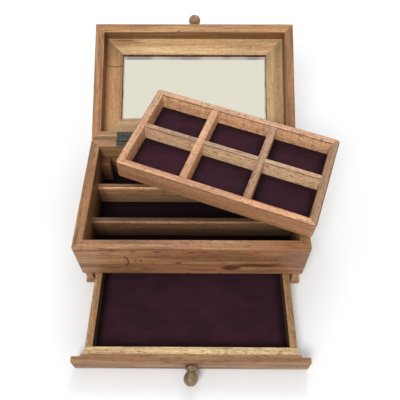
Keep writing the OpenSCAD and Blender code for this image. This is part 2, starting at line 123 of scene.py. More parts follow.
# A hinge screw: the rounding of its head's rim, the depth of its slot, how level its top's faces
# are, and the rounds of the search for its axis
RIM_DROP = 0.15 * MM
RIM_TUCK = 0.1 * MM
RIM_EASE = 0.25 * MM
SLOT_DEPTH = 0.45 * MM
TOP_REACH = 0.01 * MM
SCREW_FACETS = 32
AXIS_ROUNDS = 20

# The studio: its paper, its light, and each lamp's place, target, width and watts
FLOOR_REACH = 3.0
FLOOR_DROP = 0.2 * MM
STUDIO_COLOUR = (1.0, 0.995, 0.985)
STUDIO_STRENGTH = 0.50
LAMPS = {
    "overhead": ((0, 0.1, 1.6), (0, 0.1, 0), 1.6, 3.2),
    "key": ((-0.45, -1.4, 1.7), (0, 0, 0.05), 0.8, 28),
    "back": ((0.3, 1.6, 1.5), (0, 0.1, 0), 0.9, 18),
}

# The camera that the box's own corners fit in the 400 by 400 picture
PICTURE_W = 400
SENSOR_W = 36.0
FOCAL_PIXELS = 460.5
CAMERA_PLACE = Vector((12.0, -312.9, 509.3)) * MM
CAMERA_YAW = math.radians(-0.64)
CAMERA_PITCH = math.radians(54.93)
CAMERA_ROLL = math.radians(-0.31)

CASE_BOARDS = ["case_front", "case_back", "case_left", "case_right"]
BASE_BOARDS = ["base_left", "base_right", "base_back"]
INSIDE_BOARDS = [
    "case_floor", "divider_front", "divider_back", "tray_post_front_left", "tray_post_front_right",
    "tray_post_back_left", "tray_post_back_right", "base_panel", "drawer_guide_left",
    "drawer_guide_right"]
DRAWER_BOARDS = [
    "drawer_front", "drawer_inner_front", "drawer_left", "drawer_right", "drawer_back", "drawer_bottom"]
LID_BOARDS = ["lid_top", "lid_front", "lid_back", "lid_left", "lid_right"]
FRAME_RAILS = ["mirror_frame_front", "mirror_frame_back", "mirror_frame_left", "mirror_frame_right"]
TRAY_BOARDS = [
    "tray_front", "tray_back", "tray_left", "tray_right", "tray_divider_long",
    "tray_divider_cross_left", "tray_divider_cross_right", "tray_bottom"]
RINGS = [
    CASE_BOARDS, ["lid_front", "lid_back", "lid_left", "lid_right"],
    ["tray_front", "tray_back", "tray_left", "tray_right"],
    ["drawer_inner_front", "drawer_back", "drawer_left", "drawer_right"]]
PADS = ["case_velvet_front", "case_velvet_middle", "case_velvet_back", "drawer_velvet", "tray_velvet"]
KNOBS = {"drawer_knob": "drawer_front", "lid_knob": "lid_front"}
LEAVES = ["hinge_case_leaf_left", "hinge_case_leaf_right", "hinge_lid_leaf_left", "hinge_lid_leaf_right"]
PINS = ["hinge_pin_left", "hinge_pin_right"]
SCREWS = ["hinge_screws_case", "hinge_screws_lid"]


def length(name, description, millimetres):
    """A size that a user would change."""
    return bpy.props.FloatProperty(
        name=name, description=description, default=millimetres * MM, unit="LENGTH")


def tone(name, description, colour):
    """A colour that a user would change."""
    return bpy.props.FloatVectorProperty(
        name=name, description=description, subtype="COLOR", size=3, default=colour)


class VanityBoxSizes(bpy.types.PropertyGroup):
    """Sizes of the details that the finish adds"""

    case_ease: length("Case edge", "Rounding of the case's and lid's worn edges", 0.9)
    case_corner: length("Case corner", "Rounding of the case's and lid's upright corners", 1.6)
    tray_ease: length("Tray edge", "Rounding of the tray's worn edges", 1.0)
    tray_corner: length("Tray corner", "Rounding of the tray's upright corners", 4.0)
    fine_ease: length("Fine edge", "Rounding of edges on small pieces", 0.5)
    leaf_ease: length("Hinge edge", "Rounding of the hinge leaves' edges", 0.12)
    knob_collar: length("Knob collar", "Diameter of a knob's collar", 13)
    knob_collar_length: length("Collar length", "Length of a knob's collar", 4)
    knob_waist: length("Knob waist", "Diameter of a knob between its collar and its ball", 8)
    knob_reach: length("Knob reach", "How far a knob stands out of its board", 20.5)
    screw_slot: length("Screw slot", "Width of the slot in a hinge screw", 0.6)
    pad_crown: length("Pad crown", "How far a velvet pad swells in its middle", 0.5)
    # The pad's darker band round its edges is painted shade
    pad_shade: length("Pad shade", "Width of the darker band round a velvet pad", 12.0)
    pad_tuck: length("Pad tuck", "Width of the band where a velvet pad rolls down to its edge", 3.0)
    silver_depth: length("Silver depth", "How deep the silvering seems to lie in the mirror's glass", 2.0)
    # The mirror's border bands are a painted reflection of the frame's inner edge
    mirror_border: length("Mirror border", "Width of the mirror's dull border inside its frame", 2.0)
    mirror_far_border: length("Far border", "How much wider the dull border is on the knob's side", 3.6)


class VanityBoxColours(bpy.types.PropertyGroup):
    """Colours of the finishes"""

    case_wood: tone("Case wood", "Middle colour of the case's and lid's boards", (0.40, 0.215, 0.098))
    frame_wood: tone("Frame wood", "Middle colour of the mirror's frame", (0.57, 0.375, 0.20))
    inner_wood: tone(
        "Inner wood", "Middle colour of the dividers, posts and drawer boards", (0.40, 0.225, 0.105))
    pale_wood: tone("Pale wood", "Middle colour of the drawer's inner front", (0.52, 0.365, 0.21))
    tray_wood: tone("Tray wood", "Middle colour of the tray's boards", (0.49, 0.285, 0.165))
    knob_wood: tone("Knob wood", "Middle colour of the turned knobs", (0.30, 0.195, 0.11))
    velvet: tone("Velvet", "Colour of the velvet's pile", (0.026, 0.008, 0.0135))
    hinge: tone("Hinge", "Colour of the hinges' dark metal", (0.034, 0.031, 0.027))
    floor: tone("Floor", "Colour of the floor", (0.855, 0.865, 0.875))


# Shader arithmetic

class Socket:
    """A shader socket that takes part in Python arithmetic."""

    def __init__(self, shader, source):
        self.shader = shader
        self.source = source

    def math(self, operation, *values):
        return self.shader.node("Math", {"operation": operation}, dict(enumerate(values)))

    def __add__(self, other):
        return self.math("ADD", self, other)

    def __sub__(self, other):
        return self.math("SUBTRACT", self, other)

    def __rsub__(self, other):
        return self.math("SUBTRACT", other, self)

    def __mul__(self, other):
        return self.math("MULTIPLY", self, other)

    def __pow__(self, other):
        return self.math("POWER", self, other)

    def __abs__(self):
        return self.math("ABSOLUTE", self)

    def larger(self, other):
        return self.math("MAXIMUM", self, other)

    def sine(self):
        return self.math("SINE", self)

    def between(self, low, high):
        """Rises smoothly from 0 to 1 as the value goes from low to high."""
        return self.shader.node(
            "MapRange", {"interpolation_type": "SMOOTHSTEP"},
            {"Value": self, "From Min": low, "From Max": high})

    __radd__ = __add__
    __rmul__ = __mul__


class Shader:
    """One material, built node by node."""

    def __init__(self, name):
        self.material = bpy.data.materials.new(name)
        self.material.use_nodes = True
        self.tree = self.material.node_tree
        self.tree.nodes.clear()

    def node(self, kind, settings=None, values=None, out=0):
        """Adds a node, sets it up, fills its sockets and returns one of its outputs."""
        made = self.tree.nodes.new("ShaderNode" + kind)
        for name, value in (settings or {}).items():
            setattr(made, name, value)
        for name, value in (values or {}).items():
            if isinstance(value, Socket):
                self.tree.links.new(value.source, made.inputs[name])
            elif hasattr(value, "__len__") and made.inputs[name].type == "RGBA":
                made.inputs[name].default_value = (*value, 1)
            else:
                made.inputs[name].default_value = value
        return Socket(self, made.outputs[out])

    def attribute(self, name, out="Vector"):
        return self.node("Attribute", {"attribute_name": name}, out=out)

    def object_point(self):
        return self.node("TexCoord", out="Object")

    def noise(self, point, scale, detail=2.0, roughness=0.5, distortion=0.0):
        """Noise of about scale waves a metre along each axis, from 0 to 1."""
        stretched = self.node("Mapping", {}, {"Vector": point, "Scale": scale})
        return self.node(
            "TexNoise", {"noise_dimensions": "3D"},
            {"Vector": stretched, "Scale": 1.0, "Detail": detail, "Roughness": roughness,
             "Distortion": distortion})

    def mix(self, factor, first, second, blend="MIX"):
        """A blend of two colours, which are the Mix node's inputs 6 and 7."""
        return self.node(
            "Mix", {"data_type": "RGBA", "blend_type": blend},
            {0: factor, 6: first, 7: second}, out=2)

    def parts(self, point):
        """The three numbers of a vector."""
        split = self.node("SeparateXYZ", {}, {"Vector": point})
        return [Socket(self, output) for output in split.source.node.outputs]

    def finish(self, settings, bump=None, strength=0.3, distance=0.2 * MM):
        """Feeds the surface shader and returns the material."""
        if bump is not None:
            settings["Normal"] = self.node(
                "Bump", {}, {"Height": bump, "Strength": strength, "Distance": distance})
        surface = self.node("BsdfPrincipled", {}, settings)
        target = self.tree.nodes.new("ShaderNodeOutputMaterial")
        self.tree.links.new(surface.source, target.inputs["Surface"])
        return self.material


def shade(colour, gain, shift=(1, 1, 1)):
    """A colour made lighter or darker, and warmer or cooler."""
    return tuple(min(1.0, c * gain * s) for c, s in zip(colour, shift))


def patch(s, board, mark):
    """How strongly a natural mark colours a point of its board: 0 outside it, 1 at its heart."""
    along, across, half_length, half_width, depth, rim = mark
    loose = s.noise(board, (60, 160, 160), 2) - 0.5
    x, y, _ = s.parts(board)
    x = (x - along * MM) * (1 / (half_length * MM))
    y = (y - across * MM) * (1 / (half_width * MM)) + loose * (0.25 if rim else 1.1)
    reach = (x * x + y * y) ** 0.5
    if rim:
        width = rim / abs(half_length)
        line = 1 - abs(reach - 1).between(0.4 * width, width)
        return line * x.between(0.0, 0.35) * depth
    return (1 - reach.between(0.15, 1.05)) * depth


def wood(name, middle, figure=1.0, streaks=1.0, pores=1.0, speckle=0.6, gloss=0.42, arris_shade=0.0,
         stain=(1.30, 0.70, 0.66), marks=(), curl=0.0):
    """Open-pored hardwood. It reads each board's own grain, board and tint attributes."""
    s = Shader(name)
    grain = s.attribute("grain")
    lightness, warmth, richness = s.parts(s.attribute("tint"))
    bare = s.attribute("bare", "Fac")

    # Where each feature of the log shows, from its growth rings down to its pores
    _, across, through = s.parts(grain)
    across = across + (s.noise(grain, (8, 26, 26), 3) - 0.5) * 0.034
    through = through + (s.noise(grain, (6, 18, 18), 1) - 0.5) * 0.020
    pith = (across * across + through * through) ** 0.5
    rings = ((pith * 1500 + s.noise(grain, (12, 110, 110), 2) * 7).sine() * 0.5 + 0.5) ** 2.0
    ring_depth = s.noise(grain, (5, 50, 50), 1).between(0.35, 0.65)
    drift = s.noise(grain, (5, 75, 75), 4, 0.62)
    bands = s.noise(grain, (9, 260, 260), 3, 0.65)
    fibres = s.noise(grain, (30, 950, 950), 3, 0.7)
    dark_streak = s.noise(grain, (3.5, 90, 90), 3, 0.6, 0.5).between(0.55, 0.68)
    blotch = s.noise(grain, (14, 24, 24), 3)
    dash = s.noise(grain, (95, 640, 640), 2, 0.55).between(0.56, 0.68)
    dash = dash * s.noise(grain, (14, 120, 120), 2).between(0.36, 0.60)
    pore = s.noise(grain, (190, 1900, 1900), 2, 0.5).between(0.58, 0.68)
    fleck = s.noise(grain, (230, 820, 820), 2, 0.6)
    ticks = s.noise(grain, (130, 560, 560), 3, 0.65).between(0.53, 0.62)

    # The figure, from broad to fine
    colour = s.mix(drift.between(0.34, 0.66), shade(middle, 1 + 0.55 * figure, (1.0, 1.05, 1.0)),
                   shade(middle, 1 - 0.40 * figure, (1.03, 0.88, 0.80)))
    colour = s.mix(bands.between(0.42, 0.66) * 0.60 * figure, colour,
                   shade(middle, 0.40, (1.06, 0.80, 0.72)))
    colour = s.mix(rings * ring_depth * 0.60 * figure, colour, shade(middle, 0.40, (1.06, 0.82, 0.74)))
    colour = s.mix(blotch.between(0.42, 0.68) * 0.50, colour, shade(middle, 1.02, (1.16, 0.92, 0.84)))
    colour = s.mix(dark_streak * 0.60 * streaks, colour, shade(middle, 0.36, (1.05, 0.84, 0.76)))
    colour = s.mix(fleck.between(0.54, 0.64) * speckle * 0.45, colour,
                   shade(middle, 1.60, (1.0, 1.06, 1.06)))
    colour = s.mix((1 - fleck.between(0.33, 0.43)) * speckle * 0.85, colour,
                   shade(middle, 0.26, (1.05, 0.82, 0.70)))
    colour = s.mix(fibres.between(0.38, 0.72) * 0.28, colour, shade(middle, 0.55, (1.0, 0.90, 0.82)))
    colour = s.mix(dash * 0.75 * pores, colour, shade(middle, 0.24, (1.05, 0.82, 0.72)))
    colour = s.mix(pore * 0.55 * pores, colour, shade(middle, 0.28, (1.0, 0.85, 0.75)))
    colour = s.mix(bare * 0.30, colour, shade(middle, 1.35, (0.92, 1.12, 1.28)))
    colour = s.mix(ticks * bare * 0.80, colour, shade(middle, 0.38, (1.05, 0.84, 0.74)))
    if curl:
        cross = s.noise(grain, (300, 30, 30), 3, 0.6, 0.6)
        colour = s.mix(cross.between(0.52, 0.66) * curl, colour, shade(middle, 0.50, (1.08, 0.82, 0.72)))
        colour = s.mix((1 - cross.between(0.36, 0.46)) * curl * 0.6, colour, shade(middle, 1.7))

    # Knots and other marks
    board_point = s.attribute("board")
    for mark in marks:
        strength = patch(s, board_point, mark)
        heart = s.mix(strength.between(0.1, 0.9), shade(middle, 0.60, stain),
                      shade(middle, 0.15, (1.1, 0.62, 0.80)))
        colour = s.mix(strength.between(0.0, 0.5) * 0.85, colour, heart)

    # Painted shade low on inner faces, stain and painted shade on some faces, and the edges' painted
    # lines of shade, wear and painted highlight
    _, _, height_up = s.parts(s.object_point())
    # Painted shade: inner faces grow darker towards their bottoms, in a cool dark brown
    painted_shade = s.attribute("inside", "Fac") * (1 - height_up.between(0.032, 0.072))
    colour = s.mix(painted_shade, colour, shade(middle, 0.12, (1.05, 1.10, 1.60)))
    # Real stain on the tray's outer faces, painted shadow on the inner boards' tops, painted shade inside
    # the lid, and a darker drawer front top
    colour = s.mix(s.attribute("stained", "Fac"), colour, shade(middle, 0.28, (1.10, 0.82, 0.66)))
    worn = s.attribute("worn", "Fac")
    rubbed = s.noise(grain, (60, 200, 200), 2).between(0.35, 0.65)
    # A painted line of shade along the rounded edges, strongest along the inner arrises
    painted_line_shade = (worn * arris_shade).larger(s.attribute("lined", "Fac"))
    colour = s.mix(painted_line_shade * (rubbed * 0.3 + 0.7), colour, shade(middle, 0.14, (1.05, 0.78, 0.68)))
    # The rest of each rounding is lighter, partly from wear and partly a painted highlight
    colour = s.mix(worn * rubbed * (1 - arris_shade) * 0.35, colour, shade(middle, 1.65, (1.0, 1.02, 1.02)))

    # Each board's own tint
    tinted = s.mix(warmth, (0.96, 1.04, 0.94), (1.06, 0.94, 0.98))
    colour = s.mix(1.0, colour, tinted, "MULTIPLY")
    deeper = s.mix(richness * 0.5 + 0.5, (0.94, 1.07, 1.25), (1.06, 0.93, 0.75))
    colour = s.mix(1.0, colour, deeper, "MULTIPLY")
    lightness = lightness * (1 + bare * 0.62)
    bright = s.node("CombineXYZ", {}, {"X": lightness, "Y": lightness, "Z": lightness})
    colour = s.mix(1.0, colour, bright, "MULTIPLY")

    roughness = (gloss + fibres * 0.14) + pore * 0.25
    height = fibres * 0.35 - pore * 0.8 - dash * 0.6 + drift * 0.25
    return s.finish(
        {"Base Color": colour, "Roughness": roughness, "Specular IOR Level": 0.5},
        height, 0.35, 0.15 * MM)


def velvet(name, colour, sheen=0.3):
    """Short pile that leans a little differently from place to place."""
    s = Shader(name)
    place = s.object_point()
    brushed = s.noise(place, (22, 34, 34), 3, 0.6, 0.6).between(0.32, 0.70)
    tufts = s.noise(place, (1500, 1500, 1500), 2, 0.6)
    lint = s.noise(place, (420, 420, 420), 1).between(0.74, 0.80)
    base = s.mix(brushed, shade(colour, 0.75), shade(colour, 1.45, (1.0, 0.92, 1.0)))
    base = s.mix(tufts.between(0.35, 0.70) * 0.45, base, shade(colour, 2.0, (1.0, 0.95, 1.02)))
    base = s.mix(lint * 0.08, base, (0.30, 0.24, 0.26))
    # Painted shade: the velvet darkens towards the pad's edges
    base = s.mix((1 - s.attribute("middle", "Fac").between(0.0, 1.0)) * 0.75, base, shade(colour, 0.12))
    return s.finish(
        {"Base Color": base, "Roughness": 0.95, "Specular IOR Level": 0.15, "Sheen Weight": sheen,
         "Sheen Roughness": 0.45, "Sheen Tint": (0.62, 0.34, 0.44)},
        tufts + brushed * 0.4, 0.5, 0.25 * MM)


def mirror_silver(name, half_length, half_width, far_width):
    """Silvered glass, faintly smeared, with a painted reflection round its edge, widest on the knob's
    side.
    """
    s = Shader(name)
    place = s.object_point()
    smear = s.noise(place, (30, 45, 45), 3, 0.6, 1.0).between(0.45, 0.85)
    along, across, _ = s.parts(s.attribute("board"))
    soft = 0.25 * MM
    end = abs(along).between(half_length - soft, half_length + soft)
    side = abs(across).between(half_width - soft, half_width + soft)
    side = side.larger(across.between(far_width - soft, far_width + soft))
    # Painted reflection: patchy colours of the frame and the velvet round the glass's edge
    reflected_patches = s.noise(place, (32, 32, 32), 1).between(0.40, 0.60)
    border = s.mix(reflected_patches, (0.60, 0.52, 0.44), (0.34, 0.26, 0.27))
    base = s.mix(end.larger(side) * 0.9, (0.85, 0.82, 0.70), border)
    return s.finish({"Base Color": base, "Metallic": 1.0, "Roughness": smear * 0.05 + 0.015})


def card_brown(name):
    """Plain brown backing card."""
    s = Shader(name)
    pulp = s.noise(s.object_point(), (900, 900, 900), 3, 0.7)
    base = s.mix(pulp, (0.30, 0.22, 0.13), (0.40, 0.31, 0.20))
    return s.finish({"Base Color": base, "Roughness": 0.9}, pulp, 0.2, 0.1 * MM)


def antique_metal(name, colour):
    """Dark antiqued brass with rubbed specks and a green-grey bloom."""
    s = Shader(name)
    place = s.object_point()
    bloom = s.noise(place, (260, 260, 260), 3, 0.6).between(0.40, 0.68)
    rubbed = s.noise(place, (900, 900, 900), 3, 0.65).between(0.58, 0.70)
    base = s.mix(bloom, colour, shade(colour, 1.7, (0.95, 1.04, 1.0)))
    base = s.mix(rubbed * 0.8, base, (0.34, 0.34, 0.30))
    return s.finish(
        {"Base Color": base, "Metallic": rubbed * 0.5 + 0.45, "Roughness": 0.55 - rubbed * 0.18},
        bloom * 0.5 + rubbed * 0.3, 0.3, 0.1 * MM)


def floor_paper(name, colour):
    """Seamless studio paper."""
    s = Shader(name)
    tooth = s.noise(s.object_point(), (700, 700, 700), 2)
    base = s.mix(tooth, shade(colour, 0.99), shade(colour, 1.0))
    return s.finish({"Base Color": base, "Roughness": 0.9, "Specular IOR Level": 0.1})


# Meshes

def merged_copy(node):
    """A CAD node's mesh with its loose triangles joined into whole faces."""
    bm = bmesh.new()
    bm.from_mesh(NODES[node].data)
    bmesh.ops.remove_doubles(bm, verts=bm.verts, dist=MERGE_REACH)
    bmesh.ops.dissolve_limit(bm, angle_limit=FLAT_ANGLE, verts=bm.verts, edges=bm.edges)
    return bm


def centre_of(node):
    """The middle of a CAD node's box."""
    return sum(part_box(node), Vector()) / 2


def extent(points, axis):
    """The least and the greatest reach of some points along a direction."""
    reach = [point.dot(axis) for point in points]
    return min(reach), max(reach)


def board_axes(bm):
    """Unit directions along, across and through a board, from its longest edge and widest face."""
    through = max(bm.faces, key=lambda face: face.calc_area()).normal.copy()
    level = [edge for edge in bm.edges
             if abs((edge.verts[1].co - edge.verts[0].co).normalized().dot(through)) < SQUARE]
    longest = max(level, key=lambda edge: edge.calc_length())
    along = (longest.verts[1].co - longest.verts[0].co).normalized()
    along = (along - through * along.dot(through)).normalized()
    if max(along, key=abs) < 0:
        along.negate()
    return along, through.cross(along).normalized(), through


def neighbours(node):
    """Search trees of the other nodes on a node's body: first the rest, then the hinge metal."""
    trees = []
    for hinge in (False, True):
        verts, faces = [], []
        for other, piece in NODES.items():
            if other == node or other.startswith("hinge") != hinge or BODY_OF[other] != BODY_OF[node]:
                continue
            start = len(verts)
            verts += [vert.co.copy() for vert in piece.data.vertices]
            faces += [[start + i for i in face.vertices] for face in piece.data.polygons]
        trees.append(BVHTree.FromPolygons(verts, faces) if faces else None)
    return trees


def round_corners(bm, axes, radius, steps=4):
    """Rounds the outer upright edge at each mitred end of a board, up to the mitre itself."""
    along, across, through = axes
    points = [vert.co.copy() for vert in bm.verts]
    middle = sum(points, Vector()) / len(points)
    longest = max(points, key=lambda point: abs((point - middle).dot(along)))
    outward = through if (longest - middle).dot(through) > 0 else -through
    outer = max(point.dot(outward) for point in points)
    half = abs((longest - middle).dot(along))
    for end in (-1, 1):
        heart = along * (middle.dot(along) + end * (half - radius)) + outward * (outer - radius)
        heart += across * middle.dot(across)
        for step in range(1, steps + 1):
            angle = math.radians(45) * step / steps
            direction = outward * math.cos(angle) + along * end * math.sin(angle)
            cut = bmesh.ops.bisect_plane(
                bm, geom=bm.verts[:] + bm.edges[:] + bm.faces[:], dist=CUT_REACH,
                plane_co=heart + direction * radius, plane_no=direction, clear_outer=True)
            rim = [item for item in cut["geom_cut"] if isinstance(item, bmesh.types.BMEdge)]
            if rim:
                bmesh.ops.holes_fill(bm, edges=rim, sides=0)


def ease_edges(bm, node, radius, segments=3):
    """Rounds every sharp edge that no neighbour touches; the rounding gets wear and painted light and
    shade.
    """
    near, metal = neighbours(node)
    picked = []
    for edge in bm.edges:
        if len(edge.link_faces) != 2 or edge.calc_length() < SHORT_EDGE:
            continue
        if edge.calc_face_angle(0.0) < SHARP_ANGLE:
            continue
        middle = (edge.verts[0].co + edge.verts[1].co) / 2
        touching = near is not None and near.find_nearest(middle, SEAT_REACH)[0] is not None
        if touching or (metal is not None and metal.find_nearest(middle, HINGE_REACH)[0] is not None):
            continue
        picked.append(edge)
    worn = bm.faces.layers.float.new("worn")
    # The frame's side faces take the painted line of shade along the glass and the frame's edges
    if node.startswith("mirror_frame"):
        through = board_axes(bm)[2]
        for face in bm.faces:
            face[worn] = 1.0 if abs(face.normal.dot(through)) < LEANING else 0.0
    if picked:
        made = bmesh.ops.bevel(
            bm, geom=picked, offset=radius, offset_type="OFFSET", affect="EDGES", segments=segments,
            profile=0.5, material=-1, clamp_overlap=True)
        for face in made["faces"]:
            face[worn] = 1.0


def lay_grain(mesh, axes, node):
    """Gives each point its place in the log that the board was sawn from, and the board its tint."""
    dice = random.Random(RANDOM_SEED * 1000 + sorted(NODES).index(node))
    shift = Vector([dice.uniform(*reach) for reach in LOG_REACH])
    tint = TONES.get(node, (dice.uniform(*LIGHTNESS_REACH), dice.uniform(*WARMTH_REACH), 0.0))
    places = [Vector([vert.co.dot(axis) for axis in axes]) for vert in mesh.vertices]
    middle = Vector([(min(row) + max(row)) / 2 for row in zip(*places)])
    grain = mesh.attributes.new("grain", "FLOAT_VECTOR", "POINT")
    local = mesh.attributes.new("board", "FLOAT_VECTOR", "POINT")
    tints = mesh.attributes.new("tint", "FLOAT_VECTOR", "POINT")
    for index, place in enumerate(places):
        grain.data[index].vector = place - middle + shift
        local.data[index].vector = place - middle
        tints.data[index].vector = tint


def ring_side(node):
    """A unit vector from the middle of the four boards that a board stands among out to the board."""
    for ring in RINGS:
        if node in ring:
            centres = {other: centre_of(other) for other in ring}
            return (centres[node] - sum(centres.values(), Vector()) / len(ring)).normalized()
    return None


def mark_sides(bm, node):
    """Marks stain, painted shade, painted shadow and darker tops on a board's faces and inner arrises."""
    painted_low_shade = bm.faces.layers.float.new("inside")
    stained = bm.faces.layers.float.new("stained")
    bare = bm.faces.layers.float.new("bare")
    lined = bm.faces.layers.float.new("lined")
    worn = bm.faces.layers.float["worn"]
    outward = ring_side(node)
    for face in bm.faces:
        facing = face.normal.dot(outward) if outward else 0.0
        upright = abs(face.normal.z) < LEANING
        level = face.normal.z > STRAIGHT_ON
        # Painted shade low on the upright faces of the inner boards
        if node in INSIDE_BOARDS and upright:
            face[painted_low_shade] = INNER_PAINTED_SHADE
        # Painted shadow on the inner boards' tops, which lie under the tray and the other parts above
        # them
        elif node in INSIDE_BOARDS and level:
            face[stained] = BACK_DIVIDER_PAINTED_SHADOW if node == "divider_back" else TOP_PAINTED_SHADOW
        # The drawer front's top is darker
        elif node == "drawer_front" and level:
            face[stained] = DRAWER_TOP_DARKENING
        # Painted shade low on the inner faces of the case's and the drawer's walls
        elif facing < -STRAIGHT_ON and node in CASE_BOARDS + DRAWER_BOARDS:
            face[painted_low_shade] = WALL_PAINTED_SHADE
        # Painted shade on the lid's inner faces
        elif facing < -STRAIGHT_ON and node in LID_BOARDS:
            face[stained] = LID_PAINTED_SHADE
        elif facing > LEANING and node in TRAY_BOARDS and upright:
            face[stained] = TRAY_STAIN
        elif node in TRAY_BOARDS and upright:
            face[bare] = 1.0
        # Inner arrises get a painted line of shade in place of the lighter rounding
        if facing < -LEANING and face[worn] > 0:
            face[lined] = 1.0
            face[worn] = 0.0


def add_piece(bm, name, material, node):
    """Makes an object of a mesh, on the body and in the slot of the node that it stands for."""
    mesh = bpy.data.meshes.new(name)
    for face in bm.faces:
        face.smooth = True
    bm.to_mesh(mesh)
    bm.free()
    mesh.set_sharp_from_angle(angle=SHARP_ANGLE)
    mesh.materials.append(material)
    piece = bpy.data.objects.new(name, mesh)
    bpy.context.scene.collection.objects.link(piece)
    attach(piece, BODY_OF[node])
    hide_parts(node)
    return piece


def keep_flats_flat(piece):
    """Lets wide faces rule the shading next to small roundings."""
    shading = piece.modifiers.new("flat_faces", "WEIGHTED_NORMAL")
    shading.mode = "FACE_AREA"
    shading.weight = 50
    shading.keep_sharp = True


def board(node, material, radius, corner=0.0):
    """One wooden board: merged, rounded at its corners, eased along its edges and given its grain."""
    bm = merged_copy(node)
    axes = board_axes(bm)
    if corner:
        round_corners(bm, axes, corner)
    ease_edges(bm, node, radius)
    mark_sides(bm, node)
    piece = add_piece(bm, node + "_board", material, node)
    lay_grain(piece.data, axes, node)
    keep_flats_flat(piece)
    return piece


MATERIALS = {}

# Lightness, warmth and richness of boards that stand out: warmth 0 is yellowish and 1 pinkish, and
# richness 1 is a deeper orange and -1 greyer
TONES = {
    "case_front": (0.82, 0.75, 0.0),
    "case_left": (0.75, 0.4, 0.5),
    "divider_back": (1.7, 0.5, -0.2),
    "divider_front": (0.80, 0.6, 0.0),
    "lid_front": (1.1, 0.2, 0.0),
    "lid_left": (0.95, 0.6, 0.0),
    "lid_right": (0.85, 0.6, 0.2),
    "mirror_frame_back": (0.8, 0.5, 0.0),
    "mirror_frame_left": (0.68, 0.65, 0.9),
    "mirror_frame_right": (0.82, 0.35, 0.1),
    "mirror_frame_front": (1.18, 0.3, 0.0),
    "tray_back": (1.08, 0.45, 0.25),
    "tray_front": (1.18, 0.6, 0.45),
    "tray_left": (1.05, 0.5, 0.0),
    "tray_right": (0.66, 0.5, 0.3),
    "tray_divider_long": (1.05, 0.2, -0.5),
    "tray_divider_cross_left": (1.18, 0.5, 0.3),
    "tray_divider_cross_right": (0.70, 0.5, 0.3),
    "drawer_front": (0.88, 0.35, 0.0),
    "drawer_left": (1.1, 0.2, 0.0),
    "drawer_right": (1.1, 0.1, 0.0),
    "drawer_inner_front": (1.1, 0.2, 0.0),
    "drawer_knob": (0.68, 0.35, 0.0),
    "lid_knob": (0.95, 1.2, 0.0),
}

# Natural marks: millimetres along and across the board, half length, half width, depth, and the
# width of the rim where only one end's rim shows, or 0
MARKS = {
    "case_front": [
        (72, -8, 50, 6, 0.75, 0), (44, -14, 15, 8, 1.0, 0), (12, -20, 24, 2, 0.6, 0),
        (-75, 1, 5, 10, 0.7, 1.2), (-63, 23, 5, 2, 0.9, 0), (-37, 22, 4.5, 2.5, 1.0, 0),
        (-1, 21, 6, 2, 0.9, 0), (14, 22, 8, 1.2, 0.8, 0), (-62, 3, 2.5, 2, 1.0, 0),
        (-56, 2, 3, 2, 1.0, 0), (-15, -3, 5, 2.5, 0.9, 0), (-30, 14, 5, 1.2, 0.7, 0),
        (55, 17, 28, 1.5, 0.5, 0), (-95, 18, 9, 1.5, 0.7, 0), (-84, 24, 4, 2, 0.9, 0),
        (-90, -14, 7, 1.5, 0.6, 0), (-50, -18, 16, 2, 0.6, 0), (30, 4, 4, 1.5, 0.9, 0),
        (92, 6, 5, 1.5, 0.8, 0), (70, 22, 6, 1.5, 0.7, 0), (104, 27, 20, 6, 0.25, 0)],
    "lid_front": [(-109, 2, 3, 3, 0.55, 0), (8, -10, 10, 2, 0.4, 0)],
    "mirror_frame_left": [(52, 1, -26, 24, 0.6, 1.1), (54, 0, 26, 14, 0.24, 0)],
    "mirror_frame_front": [
        (-93, -8, 24, 2.0, 0.8, 0), (-78, -5, 17, 1.6, 0.55, 0), (-96, -3, 30, 10, 0.36, 0)],
}

# How each wood looks: strength of its broad figure, dark streaks, pores and flecks, how dark the painted
# shade along its arrises is, its gloss as a roughness, and the tone of its marks
WOODS = {
    "case_wood": {"figure": 0.95, "streaks": 1.0, "pores": 1.0, "speckle": 0.35, "arris_shade": 0.1},
    "frame_wood": {"figure": 0.60, "streaks": 0.35, "pores": 0.6, "speckle": 0.50, "arris_shade": 0.6,
                   "stain": (1.05, 0.86, 0.72)},
    "inner_wood": {"figure": 0.80, "streaks": 0.6, "pores": 1.0, "speckle": 0.80, "arris_shade": 0.4},
    "pale_wood": {"figure": 0.70, "streaks": 0.4, "pores": 1.0, "speckle": 0.80, "arris_shade": 0.3},
    "tray_wood": {"figure": 0.66, "streaks": 0.8, "pores": 1.0, "speckle": 0.90, "arris_shade": 0.9},
    "knob_wood": {"figure": 0.90, "streaks": 0.5, "pores": 0.8, "speckle": 0.80, "gloss": 0.36},
}

# How strongly figure across the grain shows, and the case's pads, whose velvet is a darker copy painted
# with shade
CURLS = {"tray_back": 0.40, "tray_left": 0.2}
SHADED_PADS = ["case_velvet_front", "case_velvet_middle", "case_velvet_back"]


def material_of(node):
    """The Blender material of a node's slot, made once, or a board's own where it has natural marks."""
    slot = SLOT_OF[node]
    own = node in MARKS or node in CURLS or node in SHADED_PADS
    name = node if own else slot
    if name in MATERIALS:
        return MATERIALS[name]
    colours = bpy.context.scene.vanity_colours
    if slot in WOODS:
        middle = getattr(colours, slot)
        made = wood(name, middle, marks=MARKS.get(node, ()), curl=CURLS.get(node, 0.0), **WOODS[slot])
    # Darker, duller copy of the velvet for the case's cells: painted shade
    elif node in SHADED_PADS:
        made = velvet(name, shade(colours.velvet, 0.35), 0.08)
    elif slot == "velvet":
        made = velvet(name, colours.velvet)
    elif slot == "hinge_metal":
        made = antique_metal(name, colours.hinge)
    elif slot == "backing_card":
        made = card_brown(name)
    else:
        raise RuntimeError("no finish is known for slot " + slot)
    MATERIALS[name] = made
    return made


